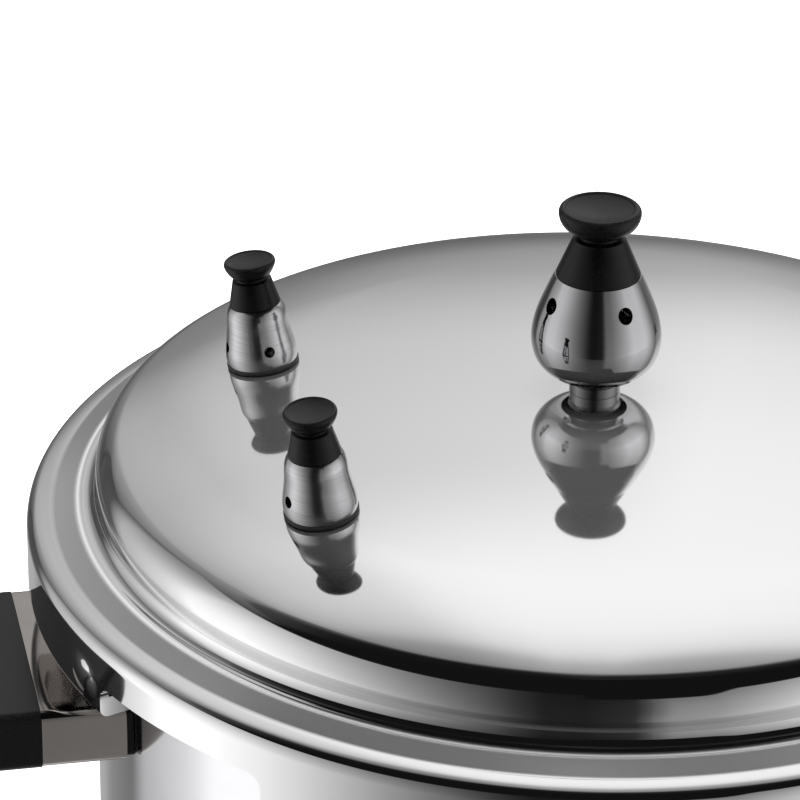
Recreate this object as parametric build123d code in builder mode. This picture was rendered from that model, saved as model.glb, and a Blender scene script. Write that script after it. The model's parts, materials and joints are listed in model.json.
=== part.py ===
from build123d import *
import math
import os

os.makedirs("parts", exist_ok=True)

# ---------------------------------------------------------------------------
# Large stovetop pressure cooker, 320 mm class, outside-locking bayonet lid.
# Millimetres.  Origin: centre of the pot's base.  +Z up.  The long handle of
# the pot points to +X and the helper handle to -X.
# The lid is modelled set down on the pot and not yet turned to lock.
# ---------------------------------------------------------------------------

# pot
POT_R = 156.0            # outside radius of the wall
POT_WALL = 2.5
POT_BASE = 4.0
RIM_TOP = 225.0          # top of the rim ring
RIM_LOW = 218.8          # underside of the rim ring and of the lugs
RIM_R = 162.0
POT_LUG_R = 170.5
POT_LUG_TOP = 223.8
POT_LUG_ARC = 18.0
LUG_COUNT = 6
LUG_PHASE = 33.0         # first pot lug, in a gap of the lid skirt
RING_GAP = 0.05          # between the wall and the bayonet ring

# lid
FOOT = 240.0             # height of the foot of the raised top
LID_T = 3.0
DOME_RS = 839.0          # sphere radius of the middle of the raised top
DOME_APEX = FOOT + 34.5
BLEND_IN, BLEND_RS = 108.0, 229.0                 # outer part of the raised top, more curved
SH_RC, SH_Z, SH_R = 144.0, FOOT + 8.07, 11.3      # rolled shoulder
WALL_R = SH_RC + SH_R
FOOT_R = 4.0             # fillet at the foot of the wall
SKIRT_R = 177.0
LAND_IN, LAND_DROP, LAND_SLOPE = 161.4, 0.35, 19.0   # sloping land outside the foot
RING_R, RING_S0, RING_S1 = 21.0, 7.0, 18.0           # crowned ring outside the land
EDGE_R = 4.3             # rolled edge
GAP_Z = FOOT - 17.5      # skirt edge between lugs
LUG_Z = FOOT - 29.0      # underside of the lid lugs
LUG_TOP = FOOT - 22.0
LUG_IN = 163.2
GAP_ARC = 23.0
TURN = 22.0              # from set down to locked

# handles
POT_HANDLE_TOP = FOOT - 41.0
HELPER_W, HELPER_H = 80.0, 20.0
LONG_W, LONG_H = 50.0, 24.0
SEAM = 179.5             # joint between sleeve and grip, from the pot's axis
SLEEVE_IN = 158.6
UP_TOP, UP_H = FOOT - 9.8, 21.0
UP_ANG = 22.0
UP_SEAM = 199.0
UP_SLEEVE_IN = 179.2
LONG_END = 372.0
HELPER_END = 241.0

# valves
VALVE_RHO = 108.0
VALVE_ANGLES = {"rear": 152.7, "front": 208.1}

Z_AX = Axis.Z


def rad(a):
    return math.radians(a)


def section_plane(s, ang, z):
    """Plane across a handle at distance s from the axis."""
    c, n = math.cos(rad(ang)), math.sin(rad(ang))
    return Plane(origin=(s * c, s * n, z), x_dir=(-n, c, 0), z_dir=(c, n, 0))


def plan_plane(ang, z):
    """Horizontal plane whose x runs along a handle."""
    c, n = math.cos(rad(ang)), math.sin(rad(ang))
    return Plane(origin=(0, 0, z), x_dir=(c, n, 0), z_dir=(0, 0, 1))


def side_plane(ang, y):
    """Vertical plane along a handle, x along it and y up, y sideways from it."""
    c, n = math.cos(rad(ang)), math.sin(rad(ang))
    return Plane(origin=(-n * y, c * y, 0), x_dir=(c, n, 0), z_dir=(n, -c, 0))


# --------------------------------------------------------------- pot_body
with BuildPart() as pot_body:
    with BuildSketch(Plane.XZ):
        with BuildLine():
            Line((0, 0), (144, 0))
            ThreePointArc((144, 0), (144 + 12 * math.sin(rad(45)), 12 - 12 * math.cos(rad(45))), (156, 12))
            Line((156, 12), (156, RIM_TOP - 1))
            Line((156, RIM_TOP - 1), (155, RIM_TOP))
            Line((155, RIM_TOP), (POT_R - POT_WALL + 1, RIM_TOP))
            Line((POT_R - POT_WALL + 1, RIM_TOP), (POT_R - POT_WALL, RIM_TOP - 1))
            Line((POT_R - POT_WALL, RIM_TOP - 1), (POT_R - POT_WALL, 14))
            ThreePointArc((153.5, 14), (143.5 + 10 * math.sin(rad(45)), 14 - 10 * math.cos(rad(45))), (143.5, POT_BASE))
            Line((143.5, POT_BASE), (0, POT_BASE))
            Line((0, POT_BASE), (0, 0))
        make_face()
    revolve(axis=Z_AX)
pot_body.part.label = "pot_body"
export_step(pot_body.part, "parts/pot_body.step")

# --------------------------------------------------------------- pot_rim
# bayonet ring shrunk on the top of the wall
with BuildPart() as pot_rim:
    with BuildSketch(Plane.XZ):
        with BuildLine():
            Polyline(
                (POT_R + RING_GAP, RIM_LOW), (RIM_R, RIM_LOW), (RIM_R, RIM_TOP - 1), (RIM_R - 1, RIM_TOP),
                (POT_R + RING_GAP, RIM_TOP), close=True)
        make_face()
    revolve(axis=Z_AX)
    for k in range(LUG_COUNT):
        a0 = LUG_PHASE + 60.0 * k - POT_LUG_ARC / 2
        with BuildSketch(Plane.XZ.rotated((0, 0, a0))):
            with Locations(((RIM_R - 1 + POT_LUG_R) / 2, (RIM_LOW + POT_LUG_TOP) / 2)):
                Rectangle(POT_LUG_R - RIM_R + 1, POT_LUG_TOP - RIM_LOW)
        revolve(axis=Z_AX, revolution_arc=POT_LUG_ARC)
pot_rim.part.label = "pot_rim"
export_step(pot_rim.part, "parts/pot_rim.step")

# --------------------------------------------------------------- lid
APEX = DOME_APEX
SPH_Z = APEX - DOME_RS
B_IN = math.asin(BLEND_IN / DOME_RS)              # slope where the middle meets the outer part
BL_C = (BLEND_IN - BLEND_RS * math.sin(B_IN), SPH_Z + (DOME_RS - BLEND_RS) * math.cos(B_IN))
# the outer part runs into the shoulder where both have the same tangent
_lx, _lz = SH_RC - BL_C[0], SH_Z - BL_C[1]
B_OUT = math.atan2(_lx, _lz)
SH_RT = BLEND_RS - math.hypot(_lx, _lz)           # shoulder radius that makes it tangent
FOOT_RC = SH_RC + SH_RT + FOOT_R
WALL_R = SH_RC + SH_RT
S0, S1, SL = rad(RING_S0), rad(RING_S1), rad(LAND_SLOPE)
LAND_OUT = SKIRT_R - EDGE_R * (1 - math.sin(S1)) - RING_R * (math.sin(S1) - math.sin(S0))
LAND_Z0 = FOOT - LAND_DROP
LAND_Z1 = LAND_Z0 - (LAND_OUT - LAND_IN) * math.tan(SL)
RING_C = (LAND_OUT - RING_R * math.sin(S0), LAND_Z1 - RING_R * math.cos(S0))
EDGE_RC = SKIRT_R - EDGE_R
EDGE_Z = RING_C[1] + (RING_R - EDGE_R) * math.cos(S1)


def arc_pts(cx, cz, r, a0, a1):
    am = (a0 + a1) / 2
    return [(cx + r * math.cos(a), cz + r * math.sin(a)) for a in (a0, am, a1)]


def lid_side(t):
    """Arcs of one skin of the lid, t below the outer skin, from the axis out."""
    q = math.pi / 2
    r_t = RING_R - t
    land_end = (RING_C[0] + r_t * math.sin(S0), RING_C[1] + r_t * math.cos(S0))
    return [
        arc_pts(0, SPH_Z, DOME_RS - t, q, q - B_IN),
        arc_pts(BL_C[0], BL_C[1], BLEND_RS - t, q - B_IN, q - B_OUT),
        arc_pts(SH_RC, SH_Z, SH_RT - t, q - B_OUT, 0),
        [(WALL_R - t, SH_Z), (WALL_R - t, FOOT + FOOT_R)],
        arc_pts(FOOT_RC, FOOT + FOOT_R, FOOT_R + t, math.pi, 1.5 * math.pi),
        [(FOOT_RC, FOOT - t), (LAND_IN, LAND_Z0 - t)],
        [(LAND_IN, LAND_Z0 - t), land_end],
        arc_pts(RING_C[0], RING_C[1], r_t, q - S0, q - S1),
        arc_pts(EDGE_RC, EDGE_Z, EDGE_R - t, q - S1, 0),
    ]


def valve_frame(ang):
    """Point on the raised top and the normal there."""
    x, y = VALVE_RHO * math.cos(rad(ang)), VALVE_RHO * math.sin(rad(ang))
    z = SPH_Z + math.sqrt(DOME_RS ** 2 - VALVE_RHO ** 2)
    n = Vector(x, y, z - SPH_Z).normalized()
    t = Vector(-math.sin(rad(ang)), math.cos(rad(ang)), 0)
    return Vector(x, y, z), n, t


with BuildPart() as lid:
    with BuildSketch(Plane.XZ):
        with BuildLine():
            outer = lid_side(0)
            inner = lid_side(LID_T)
            for seg in outer:
                if len(seg) == 3:
                    ThreePointArc(*seg)
                else:
                    Line(*seg)
            Line((SKIRT_R, EDGE_Z), (SKIRT_R, LUG_Z + 3))
            ThreePointArc((SKIRT_R, LUG_Z + 3), (SKIRT_R - 3 + 3 * math.cos(rad(45)), LUG_Z + 3 - 3 * math.sin(rad(45))), (SKIRT_R - 3, LUG_Z))
            Line((SKIRT_R - 3, LUG_Z), (LUG_IN + 0.8, LUG_Z))
            Line((LUG_IN + 0.8, LUG_Z), (LUG_IN, LUG_Z + 0.8))
            Line((LUG_IN, LUG_Z + 0.8), (LUG_IN, LUG_TOP))
            Line((LUG_IN, LUG_TOP), (SKIRT_R - LID_T, LUG_TOP))
            Line((SKIRT_R - LID_T, LUG_TOP), (SKIRT_R - LID_T, EDGE_Z))
            for seg in inner:
                if len(seg) == 3:
                    ThreePointArc(*seg)
                else:
                    Line(*seg)
            Line((0, APEX - LID_T), (0, APEX))
        make_face()
    revolve(axis=Z_AX)
    # gaps of the bayonet skirt, with rounded upper corners
    for k in range(LUG_COUNT):
        a = LUG_PHASE + 60.0 * k
        half = SKIRT_R * math.sin(rad(GAP_ARC / 2))
        with BuildSketch(section_plane(150.0, a, GAP_Z - 20.0)):
            RectangleRounded(2 * half, 40.0, 5.0)
        extrude(amount=40.0, mode=Mode.SUBTRACT)
    # small pressed stops beside the end of each lug
    with BuildPart(mode=Mode.PRIVATE) as stop_bumps:
        with PolarLocations(SKIRT_R + 2.0 - 12.0, 3, start_angle=78.0):
            with Locations((0, 0, FOOT - 19.0)):
                Sphere(12.0)
        with Locations((0, 0, FOOT - 19.0)):
            Cylinder(SKIRT_R - 1.0, 40.0, mode=Mode.SUBTRACT)
    add(stop_bumps.part)
    # bore of the vent pipe and of the two safety valves
    with Locations((0, 0, APEX)):
        Cylinder(5.1, 20.0, mode=Mode.SUBTRACT)
    for ang in VALVE_ANGLES.values():
        o, n, t = valve_frame(ang)
        with BuildSketch(Plane(origin=o - n * 10, x_dir=t, z_dir=n)):
            Circle(4.1)
        extrude(amount=20.0, mode=Mode.SUBTRACT)
lid.part.label = "lid"
export_step(lid.part, "parts/lid.step")

# --------------------------------------------------------------- sealing_gasket
G_IN, G_OUT = 157.4, SKIRT_R - LID_T - 0.5
G_BOT = RIM_TOP + 0.2
g_top_in = FOOT - LID_T - 0.5
with BuildPart() as sealing_gasket:
    with BuildSketch(Plane.XZ):
        with BuildLine():
            Polyline(
                (G_IN, G_BOT), (166.0, G_BOT), (167.0, G_BOT + 1.6), (168.0, G_BOT), (G_OUT, G_BOT),
                (G_OUT, FOOT - 10.4), (171.6, FOOT - 8.0), (167.0, FOOT - 6.1), (162.5, FOOT - 4.4),
                (159.0, g_top_in), (G_IN, g_top_in), close=True)
        make_face()
    revolve(axis=Z_AX)
sealing_gasket.part.label = "sealing_gasket"
export_step(sealing_gasket.part, "parts/sealing_gasket.step")

# --------------------------------------------------------------- vent pipe group
with BuildPart() as vent_pipe:
    with BuildSketch(Plane.XZ):
        with BuildLine():
            Polyline(
                (1.6, APEX - 16.0), (4.95, APEX - 16.0), (4.95, APEX + 0.05), (7.9, APEX + 0.05),
                (7.9, APEX + 3.2), (7.3, APEX + 3.7), (7.3, APEX + 4.2), (8.3, APEX + 4.8),
                (8.3, APEX + 9.6), (7.4, APEX + 10.6), (4.6, APEX + 10.6), (4.2, APEX + 17.0),
                (3.0, APEX + 18.0), (2.6, APEX + 18.0), (1.6, APEX + 16.6), close=True)
        make_face()
    revolve(axis=Z_AX)
vent_pipe.part.label = "vent_pipe"
export_step(vent_pipe.part, "parts/vent_pipe.step")

with BuildPart() as vent_pipe_nut:
    with BuildSketch(Plane.XY.offset(APEX - LID_T - 7.1)):
        RegularPolygon(8.5, 6, major_radius=False)
        Circle(5.0, mode=Mode.SUBTRACT)
    extrude(amount=7.0)
    chamfer(vent_pipe_nut.faces().sort_by(Axis.Z)[0].outer_wire().edges(), 0.7)
vent_pipe_nut.part.label = "vent_pipe_nut"
export_step(vent_pipe_nut.part, "parts/vent_pipe_nut.step")

with BuildPart() as vent_filter:
    with BuildSketch(Plane.XZ):
        with BuildLine():
            Polyline(
                (5.0, APEX - 11.0), (5.0, APEX - 15.6), (9.0, APEX - 15.6), (9.0, APEX - 26.0),
                (7.5, APEX - 28.0), (0, APEX - 28.0), (0, APEX - 29.2), (8.2, APEX - 29.2),
                (10.2, APEX - 26.6), (10.2, APEX - 14.4), (6.4, APEX - 14.4), (6.4, APEX - 11.0), close=True)
        make_face()
    revolve(axis=Z_AX)
    for k in range(8):
        with BuildSketch(section_plane(7.0, 22.5 + 45.0 * k, APEX - 21.0)):
            SlotOverall(8.0, 2.2, rotation=90)
        extrude(amount=6.0, mode=Mode.SUBTRACT)
vent_filter.part.label = "vent_filter"
export_step(vent_filter.part, "parts/vent_filter.step")

# --------------------------------------------------------------- counterweight
WB = FOOT + 40.8        # underside of the weight
WEIGHT_HOLE_Z = FOOT + 66.6
weight_outer = [
    (10.4, WB), (11.8, WB), (14.6, WB + 1.0), (17.0, WB + 3.0), (18.9, WB + 5.8), (19.9, WB + 9.0),
    (20.2, WB + 12.0), (19.9, WB + 15.4), (19.1, WB + 19.0), (17.9, WB + 22.6), (16.3, WB + 26.6),
    (14.7, WB + 30.4), (13.3, WB + 33.4)]
with BuildPart() as weight_body:
    with BuildSketch(Plane.XZ):
        with BuildLine():
            Line((10.4, WB), (11.8, WB))
            Spline(*weight_outer[1:])
            Line((13.3, WB + 33.4), (4.0, WB + 33.4))
            Line((4.0, WB + 33.4), (4.0, WB + 31.5))
            Line((4.0, WB + 31.5), (3.0, WB + 31.5))
            Line((3.0, WB + 31.5), (3.0, WB + 29.5))
            Line((3.0, WB + 29.5), (9.0, WB + 29.5))
            Line((9.0, WB + 29.5), (10.4, WB + 25.0))
            Line((10.4, WB + 25.0), (10.4, WB))
        make_face()
    revolve(axis=Z_AX)
    for k in range(4):
        with BuildSketch(section_plane(5.0, 18.0 + 90.0 * k, WEIGHT_HOLE_Z)):
            Circle(2.5)
        extrude(amount=20.0, mode=Mode.SUBTRACT)
weight_body.part.label = "weight_body"
export_step(weight_body.part, "parts/weight_body.step")

with BuildPart() as weight_needle:
    with BuildSketch(Plane.XZ):
        with BuildLine():
            Polyline(
                (0, APEX + 15.6), (0.5, APEX + 15.6), (2.4, APEX + 18.2), (5.4, APEX + 18.8),
                (5.4, WB + 29.4), (2.95, WB + 29.4), (2.95, WB + 31.4), (0, WB + 31.4), close=True)
        make_face()
    revolve(axis=Z_AX)
weight_needle.part.label = "weight_needle"
export_step(weight_needle.part, "parts/weight_needle.step")

KZ = WB + 33.5
with BuildPart() as weight_knob:
    with BuildSketch(Plane.XZ):
        with BuildLine():
            Line((0, KZ - 1.8), (3.9, KZ - 1.8))
            Line((3.9, KZ - 1.8), (3.9, KZ))
            Line((3.9, KZ), (13.1, KZ))
            Line((13.1, KZ), (8.1, KZ + 12.1))
            Line((8.1, KZ + 12.1), (6.7, KZ + 12.7))
            Line((6.7, KZ + 12.7), (6.7, KZ + 13.6))
            Spline((6.7, KZ + 13.6), (9.6, KZ + 15.0), (11.9, KZ + 17.4), (12.7, KZ + 19.8),
                   (12.5, KZ + 21.4), (11.6, KZ + 22.1), (10.4, KZ + 21.7))
            Spline((10.4, KZ + 21.7), (8.0, KZ + 21.0), (5.2, KZ + 20.45), (2.6, KZ + 20.15), (0.8, KZ + 20.05))
            Line((0.8, KZ + 20.05), (0, KZ + 20.05))
            Line((0, KZ + 20.05), (0, KZ - 1.8))
        make_face()
    revolve(axis=Z_AX)
weight_knob.part.label = "weight_knob"
export_step(weight_knob.part, "parts/weight_knob.step")

# --------------------------------------------------------------- safety valves
SPRING_R, SPRING_WIRE = 4.3, 0.8


def turned(o, n, t):
    """Plane for a profile: x is the radius, y is the height above the lid."""
    return Plane(origin=o, x_dir=t, z_dir=t.cross(n))


for pos, ang in VALVE_ANGLES.items():
    o, n, t = valve_frame(ang)
    ax = Axis(o, n)
    prof = turned(o, n, t)
    turn0 = {"rear": 276.7, "front": 201.5}[pos]
    holes = {"rear": 4, "front": 2}[pos]

    with BuildPart() as valve_gasket:
        with BuildSketch(Plane(origin=o + n * 0.05, x_dir=t, z_dir=n)):
            Circle(11.4)
            Circle(4.1, mode=Mode.SUBTRACT)
        extrude(amount=1.4)
        fillet(valve_gasket.edges().filter_by(GeomType.CIRCLE).group_by(lambda e: e.radius)[-1], 0.45)
    valve_gasket.part.label = pos + "_valve_gasket"
    export_step(valve_gasket.part, "parts/" + pos + "_valve_gasket.step")

    with BuildPart() as valve_body:
        with BuildSketch(prof):
            with BuildLine():
                Polyline((11.1, 1.5), (4.0, 1.5), (4.0, -13.5), (2.6, -13.5), (2.6, 5.0), (3.6, 6.2),
                         (7.4, 6.2), (7.4, 16.6), (1.8, 16.6), (1.8, 20.6), (8.0, 20.6))
                Spline((8.0, 20.6), (8.35, 20.2), (9.85, 14.0), (10.9, 7.4), (11.35, 3.4), (11.1, 1.5))
            make_face()
        revolve(axis=ax)
        for k in range(holes):
            a = rad(turn0 - ang + k * (360.0 / holes))
            # outward direction in the plane across the valve
            e_r = t.cross(n)
            d = e_r * math.cos(a) + t * math.sin(a)
            with BuildSketch(Plane(origin=o + n * 7.6 + d * 5.0, x_dir=n, z_dir=d)):
                Circle(1.8 if pos == "front" else 1.7)
            extrude(amount=10.0, mode=Mode.SUBTRACT)
    valve_body.part.label = pos + "_valve_body"
    export_step(valve_body.part, "parts/" + pos + "_valve_body.step")

    with BuildPart() as valve_nut:
        with BuildSketch(Plane(origin=o - n * (LID_T + 6.2), x_dir=t, z_dir=n)):
            RegularPolygon(7.0, 6, major_radius=False)
            Circle(4.05, mode=Mode.SUBTRACT)
        extrude(amount=6.0)
    valve_nut.part.label = pos + "_valve_nut"
    export_step(valve_nut.part, "parts/" + pos + "_valve_nut.step")

    with BuildPart() as valve_stem:
        with BuildSketch(prof):
            with BuildLine():
                Polyline((0, 4.6), (1.4, 4.6), (3.3, 6.5), (6.0, 6.5), (6.0, 7.7), (1.5, 7.7),
                         (1.5, 26.0), (0, 26.0), close=True)
            make_face()
        revolve(axis=ax)
    valve_stem.part.label = pos + "_valve_stem"
    export_step(valve_stem.part, "parts/" + pos + "_valve_stem.step")

    with BuildPart() as valve_spring:
        with BuildLine() as coil:
            Helix(pitch=1.5, height=7.5, radius=SPRING_R)
        with BuildSketch(Plane(origin=coil.line @ 0, z_dir=coil.line % 0)):
            Circle(SPRING_WIRE / 2)
        sweep(is_frenet=True)
    # the coil is drawn upright and then set on the valve's axis
    spring_part = Plane(origin=o + n * 8.3, x_dir=t, z_dir=n).location * valve_spring.part
    spring_part.label = pos + "_valve_spring"
    export_step(spring_part, "parts/" + pos + "_valve_spring.step")

    with BuildPart() as valve_knob:
        with BuildSketch(prof):
            with BuildLine():
                Polyline((0, 26.0), (1.5, 26.0), (1.5, 20.9), (8.1, 20.9), (6.15, 28.9))
                Line((6.15, 28.9), (5.3, 29.4))
                Line((5.3, 29.4), (5.3, 30.0))
                Spline((5.3, 30.0), (6.6, 31.1), (7.6, 32.7), (8.15, 34.2), (8.0, 35.1),
                       (7.5, 35.5), (6.8, 35.2))
                Spline((6.8, 35.2), (5.2, 34.82), (3.4, 34.52), (1.8, 34.36), (0.6, 34.3))
                Line((0.6, 34.3), (0, 34.3))
                Line((0, 34.3), (0, 26.0))
            make_face()
        revolve(axis=ax)
    valve_knob.part.label = pos + "_valve_knob"
    export_step(valve_knob.part, "parts/" + pos + "_valve_knob.step")

# --------------------------------------------------------------- pot handles
HZ = POT_HANDLE_TOP - HELPER_H / 2      # centre height of the helper handle
LZ = POT_HANDLE_TOP - LONG_H / 2


def bracket(ang, z, foot_w, foot_h, tang_w, tang_t, tang_end, wall_r, screw_s, screw_y):
    with BuildPart() as p:
        with BuildSketch(section_plane(wall_r - 12.0, ang, z)):
            RectangleRounded(foot_w, foot_h, 2.0)
        extrude(amount=14.0 + 6.0)
        with Locations((0, 0, z)):
            Cylinder(wall_r, 80.0, mode=Mode.SUBTRACT)
        with BuildPart(mode=Mode.PRIVATE) as keep:
            with Locations((0, 0, z)):
                Cylinder(wall_r + 2.0, 70.0)
        add(keep.part, mode=Mode.INTERSECT)
        with BuildSketch(section_plane(wall_r + 1.0, ang, z)):
            RectangleRounded(tang_w, tang_t, 1.0)
        extrude(amount=tang_end - wall_r - 1.0)
        for y in screw_y:
            with BuildSketch(plan_plane(ang, z - 10.0)):
                with Locations((screw_s, y)):
                    Circle(2.1)
            extrude(amount=20.0, mode=Mode.SUBTRACT)
    return p


def sleeve(ang, z, w, h, r, s_in, s_out, cut_r):
    with BuildPart() as p:
        with BuildSketch(section_plane(s_in, ang, z)):
            RectangleRounded(w, h, r)
            RectangleRounded(w - 2.0, h - 2.0, r - 1.0, mode=Mode.SUBTRACT)
        extrude(amount=s_out - s_in)
        with Locations((0, 0, z)):
            Cylinder(cut_r, 80.0, mode=Mode.SUBTRACT)
    return p


def spacer(ang, z, w, h, r, s_in, s_out, wall_r, foot_w, foot_h, tang_w, tang_t):
    with BuildPart() as p:
        with BuildSketch(section_plane(s_in, ang, z)):
            RectangleRounded(w, h, r)
        extrude(amount=s_out - s_in)
        with Locations((0, 0, z)):
            Cylinder(wall_r + 0.2, 80.0, mode=Mode.SUBTRACT)
        with BuildPart(mode=Mode.PRIVATE) as seat:
            with BuildSketch(section_plane(s_in - 5.0, ang, z)):
                RectangleRounded(foot_w + 0.6, foot_h + 0.6, 2.2)
            extrude(amount=40.0)
            with BuildPart(mode=Mode.PRIVATE) as seat_limit:
                with Locations((0, 0, z)):
                    Cylinder(wall_r + 2.3, 70.0)
            add(seat_limit.part, mode=Mode.INTERSECT)
        add(seat.part, mode=Mode.SUBTRACT)
        with BuildSketch(section_plane(s_in - 5.0, ang, z)):
            RectangleRounded(tang_w + 0.4, tang_t + 0.4, 1.1)
        extrude(amount=60.0, mode=Mode.SUBTRACT)
    return p


def screws(ang, z_head, screw_s, screw_y, length, head_r=3.8, head_h=2.6, shank_r=2.05):
    """Pan-head screws driven upwards from z_head."""
    with BuildPart() as p:
        for y in screw_y:
            with BuildSketch(plan_plane(ang, z_head)):
                with Locations((screw_s, y)):
                    Circle(head_r)
            extrude(amount=head_h)
            with BuildSketch(plan_plane(ang, z_head + head_h)):
                with Locations((screw_s, y)):
                    Circle(shank_r)
            extrude(amount=length)
        for y in screw_y:
            with BuildSketch(plan_plane(ang, z_head)):
                with Locations((screw_s, y)):
                    Rectangle(4.6, 0.9)
                    Rectangle(0.9, 4.6)
            extrude(amount=1.4, mode=Mode.SUBTRACT)
    return p


HELPER_Y = (-16.0, 16.0)
helper_bracket = bracket(180.0, HZ, 60.0, 15.0, 52.0, 5.0, 214.0, POT_R, 202.0, HELPER_Y)
helper_bracket.part.label = "helper_bracket"
export_step(helper_bracket.part, "parts/helper_bracket.step")

helper_ferrule = sleeve(180.0, HZ, HELPER_W, HELPER_H, 3.4, 148.0, SEAM, SLEEVE_IN)
helper_ferrule.part.label = "helper_ferrule"
export_step(helper_ferrule.part, "parts/helper_ferrule.step")

helper_spacer = spacer(180.0, HZ, 77.6, 17.6, 2.3, 146.0, SEAM - 2.2, POT_R, 60.0, 15.0, 52.0, 5.0)
helper_spacer.part.label = "helper_spacer"
export_step(helper_spacer.part, "parts/helper_spacer.step")

with BuildPart() as helper_grip:
    with BuildSketch(plan_plane(180.0, HZ - HELPER_H / 2)) as helper_plan:
        with Locations(((SEAM + 0.15 + HELPER_END) / 2, 0)):
            Rectangle(HELPER_END - SEAM - 0.15, HELPER_W)
        fillet(helper_plan.vertices().sort_by(Axis.X)[-2:], 22.0)
    extrude(amount=HELPER_H)
    side = helper_grip.edges().filter_by(lambda e: abs(e.center().Z - HZ) > HELPER_H / 2 - 0.1
                                         and abs(e.center().X + SEAM + 0.15) > 1.0)
    fillet(side, 3.4)
    # recess for the finger tips in the underside
    with BuildSketch(side_plane(180.0, -25.0)):
        with Locations((HELPER_END - 20.0, HZ - HELPER_H / 2 - 16.0)):
            Circle(20.0)
    extrude(amount=-50.0, mode=Mode.SUBTRACT)
    # plug that fills the end of the sleeve
    with BuildSketch(section_plane(SEAM - 1.9, 180.0, HZ)):
        RectangleRounded(77.6, 17.6, 2.3)
    extrude(amount=2.5)
    # pocket of the bracket's tang
    with BuildSketch(section_plane(SEAM - 3.0, 180.0, HZ)):
        RectangleRounded(52.4, 5.4, 1.1)
    extrude(amount=214.6 - SEAM + 3.0, mode=Mode.SUBTRACT)
    for y in HELPER_Y:
        with BuildSketch(plan_plane(180.0, HZ - HELPER_H / 2 - 1.0)):
            with Locations((202.0, y)):
                Circle(2.15)
        extrude(amount=17.0, mode=Mode.SUBTRACT)
        with BuildSketch(plan_plane(180.0, HZ - HELPER_H / 2 - 1.0)):
            with Locations((202.0, y)):
                Circle(4.0)
        extrude(amount=4.6, mode=Mode.SUBTRACT)
helper_grip.part.label = "helper_grip"
export_step(helper_grip.part, "parts/helper_grip.step")

helper_screws = screws(180.0, HZ - HELPER_H / 2 + 0.9, 202.0, HELPER_Y, 12.0)
helper_screws.part.label = "helper_screws"
export_step(helper_screws.part, "parts/helper_screws.step")

# long handle of the pot
LOWER_SC = (222.0, 262.0)
lower_bracket = bracket(0.0, LZ, 40.0, 18.0, 26.0, 6.0, 276.0, POT_R, LOWER_SC[0], (0.0,))
with BuildPart() as lower_bracket_2:
    add(lower_bracket.part)
    with BuildSketch(plan_plane(0.0, LZ - 10.0)):
        with Locations((LOWER_SC[1], 0)):
            Circle(2.1)
    extrude(amount=20.0, mode=Mode.SUBTRACT)
lower_bracket_2.part.label = "lower_bracket"
export_step(lower_bracket_2.part, "parts/lower_bracket.step")

lower_ferrule = sleeve(0.0, LZ, LONG_W, LONG_H, 4.4, 148.0, SEAM, SLEEVE_IN)
lower_ferrule.part.label = "lower_ferrule"
export_step(lower_ferrule.part, "parts/lower_ferrule.step")

lower_spacer = spacer(0.0, LZ, LONG_W - 2.4, LONG_H - 2.4, 3.3, 146.0, SEAM - 2.2, POT_R, 40.0, 18.0, 26.0, 6.0)
lower_spacer.part.label = "lower_spacer"
export_step(lower_spacer.part, "parts/lower_spacer.step")


def long_outline(s0, s1, w0, w1, w2):
    """Half-width stations of a long handle: seam, waist and palm."""
    return [(s0, w0 / 2), (s0 + 28, w1 / 2), (s0 + 90, w1 / 2 - 0.5), (s0 + 140, w2 / 2), (s1 - 14, w2 / 2 - 3.0)]


def long_grip(ang, z_mid, h, s0, s1, w0, w1, w2, edge):
    pts = long_outline(s0, s1, w0, w1, w2)
    with BuildPart() as p:
        with BuildSketch(plan_plane(ang, z_mid - h / 2)):
            with BuildLine():
                Spline(*pts, tangents=[(1, 0), (1, -0.25)])
                ThreePointArc(pts[-1], (s1, 0), (pts[-1][0], -pts[-1][1]))
                Spline(*[(x, -y) for x, y in reversed(pts)], tangents=[(-1, -0.25), (-1, 0)])
                Line((s0, -w0 / 2), (s0, w0 / 2))
            make_face()
        extrude(amount=h)
        rim = p.edges().filter_by(lambda e: abs(e.center().Z - z_mid) > h / 2 - 0.1)
        c, n = math.cos(rad(ang)), math.sin(rad(ang))
        rim = rim.filter_by(lambda e: e.center().X * c + e.center().Y * n > s0 + 1.0)
        fillet(rim, edge)
    return p


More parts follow.
